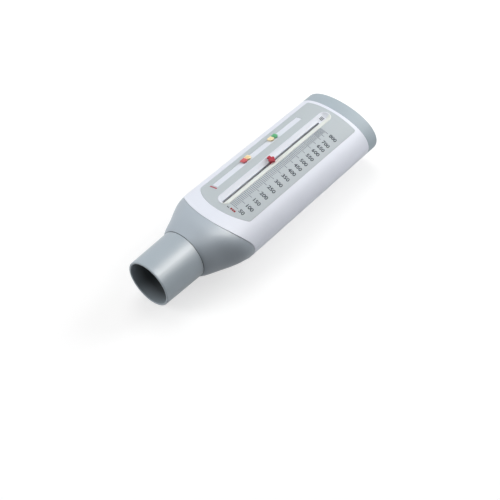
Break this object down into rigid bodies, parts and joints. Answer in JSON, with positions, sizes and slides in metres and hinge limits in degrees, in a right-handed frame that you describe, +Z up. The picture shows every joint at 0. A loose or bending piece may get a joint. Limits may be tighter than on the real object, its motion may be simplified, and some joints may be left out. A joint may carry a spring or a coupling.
{
  "type": "peak flow meter",
  "caption": "Hand-held oval peak flow meter: a sprung piston in a slotted barrel drives a pointer along a printed scale with two sliding zone markers.",
  "frame": {"origin": "on the surface that the meter rests on, under the middle of its length and width", "axes": "+X from the mouthpiece to the vented end, +Y to the left with the mouthpiece near, +Z up out of the scale"},
  "size_m": [0.172, 0.0544, 0.036],
  "materials": {
    "mouthpiece_plastic": "smooth injection-moulded blue-grey plastic, satin to glossy",
    "neck_plastic": "smooth injection-moulded blue-grey plastic, satin",
    "shell_plastic": "smooth injection-moulded white plastic, satin to glossy",
    "cap_plastic": "smooth injection-moulded blue-grey plastic, satin",
    "scale_plate": "pale grey plastic printed with a dark scale of plain numbers",
    "track_plastic": "smooth white plastic",
    "rail_plastic": "white plastic with a fine matt floor",
    "low_marker": "two-shot plastic, red half and yellow half",
    "high_marker": "two-shot plastic, yellow half and green half",
    "pointer_plastic": "glossy red plastic",
    "inner_plastic": "natural acetal",
    "barrel_plastic": "smooth white barrel plastic",
    "piston_plastic": "dark grey plastic",
    "rubber": "black rubber",
    "felt": "grey felt",
    "steel": "bright stainless steel"
  },
  "bodies": {
    "meter": {"neck": "neck_plastic", "front_shell": "shell_plastic", "rear_shell": "shell_plastic", "end_cap": "cap_plastic", "scale_plate": "scale_plate", "pointer_track": "track_plastic", "marker_rail": "rail_plastic", "barrel": "barrel_plastic", "barrel_gasket": "rubber", "front_spider": "inner_plastic", "rear_spider": "inner_plastic", "guide_rod": "steel", "rod_clips": "steel", "travel_buffer": "rubber", "return_spring": "steel"},
    "mouth": {"mouthpiece": "mouthpiece_plastic"},
    "piston_group": {"piston": "piston_plastic", "piston_bush": "inner_plastic"},
    "pointer_group": {"pointer": "pointer_plastic", "pointer_foot": "inner_plastic", "pointer_brake": "felt"},
    "low_marker": {"low_zone_marker": "low_marker"},
    "high_marker": {"high_zone_marker": "high_marker"}
  },
  "joints": [
    {"name": "mouthpiece_pull", "type": "slide", "parent": "meter", "child": "mouth", "axis": [-1, 0, 0], "range_m": [0, 0.0115]},
    {"name": "piston_slide", "type": "slide", "parent": "meter", "child": "piston_group", "axis": [1, 0, 0], "range_m": [0, 0.082], "stiffness_N_per_m": 5, "springref_m": -0.01, "deforming": ["return_spring"]},
    {"name": "pointer_slide", "type": "slide", "parent": "meter", "child": "pointer_group", "axis": [1, 0, 0], "range_m": [-0.0409, 0.0408]},
    {"name": "low_marker_slide", "type": "slide", "parent": "meter", "child": "low_marker", "axis": [1, 0, 0], "range_m": [-0.0241, 0.0086]},
    {"name": "high_marker_slide", "type": "slide", "parent": "meter", "child": "high_marker", "axis": [1, 0, 0], "range_m": [-0.0086, 0.021]}
  ]
}
